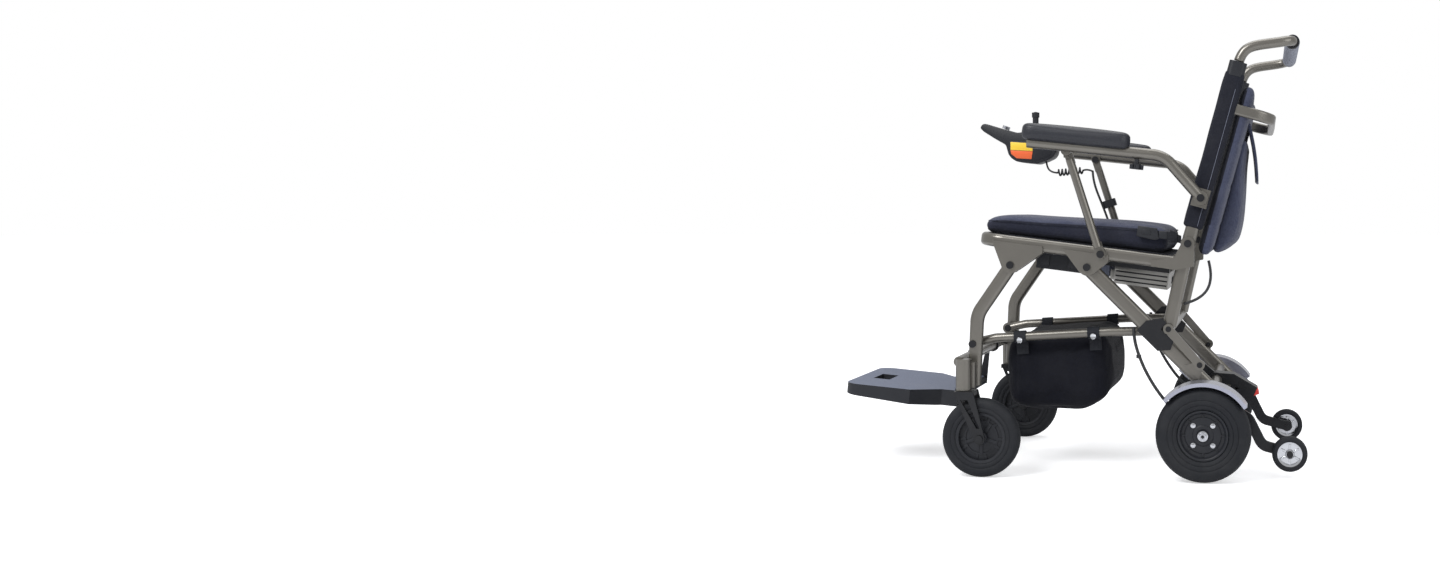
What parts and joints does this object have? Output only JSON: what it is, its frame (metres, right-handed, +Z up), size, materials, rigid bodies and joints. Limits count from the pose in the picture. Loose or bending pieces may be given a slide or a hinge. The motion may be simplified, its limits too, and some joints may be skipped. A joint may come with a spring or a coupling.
{
  "type": "power wheelchair",
  "caption": "Folding power wheelchair with cushioned seat, padded armrests, joystick, hub-motor rear wheels and swivelling front casters.",
  "frame": {"origin": "centre of the footprint of the open chair, on the ground", "axes": "+X rearward, +Y to the rider's right, +Z up; the rider faces -X"},
  "size_m": [1.0276, 0.576, 0.9426],
  "materials": {
    "frame_paint": "warm grey satin paint",
    "dark_paint": "black satin paint",
    "silver_paint": "silver paint",
    "black_steel": "blackened bolt heads",
    "bare_steel": "machined steel",
    "battery_alloy": "silver housing",
    "black_plastic": "black moulded plastic",
    "slate_plastic": "slate blue moulded plastic",
    "grip_foam": "slate grip sleeve",
    "tyre_rubber": "solid tyre",
    "cable_rubber": "cable sheath",
    "navy_fabric": "navy woven cloth",
    "black_fabric": "black woven cloth",
    "arm_vinyl": "soft vinyl",
    "button_plastic": "grey buttons",
    "webbing": "woven webbing"
  },
  "bodies": {
    "seat": {"seat_frame": "frame_paint", "seat_sling": "black_fabric", "seat_cushion": "navy_fabric", "lap_belt": "webbing", "power_module": "black_plastic", "junction_box": "black_plastic", "battery_case": "battery_alloy", "battery_rails": "dark_paint", "seat_pivot_bolts": "black_steel"},
    "rear_legs": {"rear_frame": "frame_paint", "latch_cradles": "black_plastic", "fenders": "silver_paint", "motor_stators": "bare_steel", "motor_cables": "cable_rubber"},
    "pedal": {"release_pedal": "black_plastic"},
    "front_legs": {"front_frame": "frame_paint", "footplate_bracket": "dark_paint"},
    "footplate": {"footplate": "slate_plastic"},
    "links": {"lower_links": "frame_paint", "storage_bag": "black_fabric", "bag_straps": "webbing"},
    "back": {"back_frame": "frame_paint", "back_upholstery": "black_fabric", "back_pocket": "navy_fabric", "push_handle": "frame_paint", "handle_grip": "grip_foam", "handle_fittings": "black_plastic", "back_cable": "cable_rubber"},
    "flap": {"pocket_flap": "navy_fabric"},
    "knob": {"star_knob": "black_plastic"},
    "gimbal": {"joystick_gimbal": "bare_steel"},
    "stick": {"joystick_stick": "black_plastic"},
    "power_button": {"power_button": "button_plastic"},
    "horn_button": {"horn_button": "button_plastic"},
    "speed_rocker": {"speed_rocker": "button_plastic"},
    "rear_wheel_left": {"rear_tyre_left": "tyre_rubber", "rear_hub_left": "black_plastic"},
    "antitip_arm_left": {"antitip_arm_left": "dark_paint"},
    "antitip_wheel_left": {"antitip_wheel_left": "tyre_rubber"},
    "toggle_left": {"toggle_link_left": "frame_paint"},
    "caster_left": {"caster_fork_left": "dark_paint"},
    "caster_wheel_left": {"caster_rim_left": "black_plastic", "caster_tyre_left": "tyre_rubber"},
    "arm_left": {"arm_tube_left": "frame_paint", "arm_pad_left": "arm_vinyl"},
    "strut_left": {"strut_left": "frame_paint"},
    "rear_wheel_right": {"rear_tyre_right": "tyre_rubber", "rear_hub_right": "black_plastic"},
    "antitip_arm_right": {"antitip_arm_right": "dark_paint"},
    "antitip_wheel_right": {"antitip_wheel_right": "tyre_rubber"},
    "toggle_right": {"toggle_link_right": "frame_paint"},
    "caster_right": {"caster_fork_right": "dark_paint"},
    "caster_wheel_right": {"caster_rim_right": "black_plastic", "caster_tyre_right": "tyre_rubber"},
    "arm_right": {"arm_tube_right": "frame_paint", "arm_pad_right": "arm_vinyl", "pod_housing": "black_plastic"},
    "strut_right": {"strut_right": "frame_paint", "joystick_cable": "cable_rubber", "cable_clip": "black_plastic"}
  },
  "joints": [
    {"name": "back_fold", "type": "hinge", "parent": "seat", "child": "back", "pos_m": [0.26234, 0, 0.497], "axis": [0, -1, 0], "range_deg": [0, 90], "deforming": ["storage_bag", "joystick_cable"]},
    {"name": "rear_leg_fold", "type": "hinge", "parent": "seat", "child": "rear_legs", "pos_m": [0.04734, 0, 0.446], "axis": [0, -1, 0], "range_deg": [0, 32.35]},
    {"name": "front_leg_fold", "type": "hinge", "parent": "seat", "child": "front_legs", "pos_m": [-0.11866, 0, 0.45], "axis": [0, -1, 0], "range_deg": [0, 94.88]},
    {"name": "lower_link_fold", "type": "hinge", "parent": "front_legs", "child": "links", "pos_m": [-0.20266, 0, 0.279], "axis": [0, -1, 0], "range_deg": [-92.52, 0]},
    {"name": "strut_fold_left", "type": "hinge", "parent": "seat", "child": "strut_left", "pos_m": [0.07734, -0.238, 0.474], "axis": [0, -1, 0], "range_deg": [0, 47.42]},
    {"name": "arm_fold_left", "type": "hinge", "parent": "back", "child": "arm_left", "pos_m": [0.29134, -0.257, 0.593], "axis": [0, -1, 0], "range_deg": [-78.96, 0]},
    {"name": "toggle_fold_left", "type": "hinge", "parent": "rear_legs", "child": "toggle_left", "pos_m": [0.28734, -0.225, 0.241], "axis": [0, -1, 0], "range_deg": [-130.44, 0]},
    {"name": "antitip_arm_fold_left", "type": "hinge", "parent": "rear_legs", "child": "antitip_arm_left", "pos_m": [0.35742, -0.176, 0.14235], "axis": [0, -1, 0], "range_deg": [0, 67.5]},
    {"name": "strut_fold_right", "type": "hinge", "parent": "seat", "child": "strut_right", "pos_m": [0.07734, 0.238, 0.474], "axis": [0, -1, 0], "range_deg": [0, 47.42]},
    {"name": "arm_fold_right", "type": "hinge", "parent": "back", "child": "arm_right", "pos_m": [0.29134, 0.257, 0.593], "axis": [0, -1, 0], "range_deg": [-78.96, 0]},
    {"name": "toggle_fold_right", "type": "hinge", "parent": "rear_legs", "child": "toggle_right", "pos_m": [0.28734, 0.225, 0.241], "axis": [0, -1, 0], "range_deg": [-130.44, 0]},
    {"name": "antitip_arm_fold_right", "type": "hinge", "parent": "rear_legs", "child": "antitip_arm_right", "pos_m": [0.35742, 0.176, 0.14235], "axis": [0, -1, 0], "range_deg": [0, 67.5]},
    {"name": "rear_wheel_left_spin", "type": "hinge", "parent": "rear_legs", "child": "rear_wheel_left", "pos_m": [0.29634, -0.256, 0.1], "axis": [0, 1, 0], "continuous": true},
    {"name": "caster_swivel_left", "type": "hinge", "parent": "front_legs", "child": "caster_left", "pos_m": [-0.21466, -0.251, 0.2], "axis": [0, 0, 1], "continuous": true},
    {"name": "caster_wheel_left_spin", "type": "hinge", "parent": "caster_left", "child": "caster_wheel_left", "pos_m": [-0.17566, -0.251, 0.084], "axis": [0, 1, 0], "continuous": true},
    {"name": "antitip_wheel_left_spin", "type": "hinge", "parent": "antitip_arm_left", "child": "antitip_wheel_left", "pos_m": [0.47634, -0.192, 0.0515], "axis": [0, 1, 0], "continuous": true},
    {"name": "rear_wheel_right_spin", "type": "hinge", "parent": "rear_legs", "child": "rear_wheel_right", "pos_m": [0.29634, 0.256, 0.1], "axis": [0, 1, 0], "continuous": true},
    {"name": "caster_swivel_right", "type": "hinge", "parent": "front_legs", "child": "caster_right", "pos_m": [-0.21466, 0.251, 0.2], "axis": [0, 0, 1], "continuous": true},
    {"name": "caster_wheel_right_spin", "type": "hinge", "parent": "caster_right", "child": "caster_wheel_right", "pos_m": [-0.17566, 0.251, 0.084], "axis": [0, 1, 0], "continuous": true},
    {"name": "antitip_wheel_right_spin", "type": "hinge", "parent": "antitip_arm_right", "child": "antitip_wheel_right", "pos_m": [0.47634, 0.192, 0.0515], "axis": [0, 1, 0], "continuous": true},
    {"name": "footplate_flip", "type": "hinge", "parent": "front_legs", "child": "footplate", "pos_m": [-0.25066, 0, 0.16], "axis": [0, 1, 0], "range_deg": [0, 84]},
    {"name": "pocket_flap_lift", "type": "hinge", "parent": "back", "child": "flap", "pos_m": [0.38958, 0, 0.75747], "axis": [0, -1, 0], "range_deg": [0, 60]},
    {"name": "release_pedal_press", "type": "hinge", "parent": "rear_legs", "child": "pedal", "pos_m": [0.31527, 0, 0.18363], "axis": [0, 1, 0], "range_deg": [0, 12], "stiffness_Nm_per_rad": 4},
    {"name": "star_knob_turn", "type": "hinge", "parent": "arm_left", "child": "knob", "pos_m": [0.159, -0.257, 0.68692], "axis": [0.1063, 0, 0.9943], "continuous": true},
    {"name": "stick_gimbal_roll", "type": "hinge", "parent": "arm_right", "child": "gimbal", "pos_m": [-0.14866, 0.257, 0.752], "axis": [1, 0, 0], "range_deg": [-15, 15], "stiffness_Nm_per_rad": 0.3},
    {"name": "stick_pitch", "type": "hinge", "parent": "gimbal", "child": "stick", "pos_m": [-0.14866, 0.257, 0.752], "axis": [0, 1, 0], "range_deg": [-15, 15], "stiffness_Nm_per_rad": 0.3},
    {"name": "power_button_press", "type": "slide", "parent": "arm_right", "child": "power_button", "axis": [0.3911, 0, 0.9203], "range_m": [-0.0025, 0], "stiffness_N_per_m": 300},
    {"name": "horn_button_press", "type": "slide", "parent": "arm_right", "child": "horn_button", "axis": [0.3911, 0, 0.9203], "range_m": [-0.0025, 0], "stiffness_N_per_m": 300},
    {"name": "speed_rocker_tilt", "type": "hinge", "parent": "arm_right", "child": "speed_rocker", "pos_m": [-0.22366, 0.257, 0.7765], "axis": [0, 1, 0], "range_deg": [-8, 8], "stiffness_Nm_per_rad": 0.2}
  ],
  "couplings": [
    {"joint": "rear_leg_fold", "follows": "back_fold", "ratio": 0.35941},
    {"joint": "front_leg_fold", "follows": "back_fold", "ratio": 1.0542},
    {"joint": "lower_link_fold", "follows": "back_fold", "ratio": -1.0281},
    {"joint": "strut_fold_left", "follows": "back_fold", "ratio": 0.52694},
    {"joint": "arm_fold_left", "follows": "back_fold", "ratio": -0.87736},
    {"joint": "toggle_fold_left", "follows": "back_fold", "ratio": -1.4493},
    {"joint": "antitip_arm_fold_left", "follows": "back_fold", "ratio": 0.75},
    {"joint": "strut_fold_right", "follows": "back_fold", "ratio": 0.52694},
    {"joint": "arm_fold_right", "follows": "back_fold", "ratio": -0.87736},
    {"joint": "toggle_fold_right", "follows": "back_fold", "ratio": -1.4493},
    {"joint": "antitip_arm_fold_right", "follows": "back_fold", "ratio": 0.75}
  ]
}
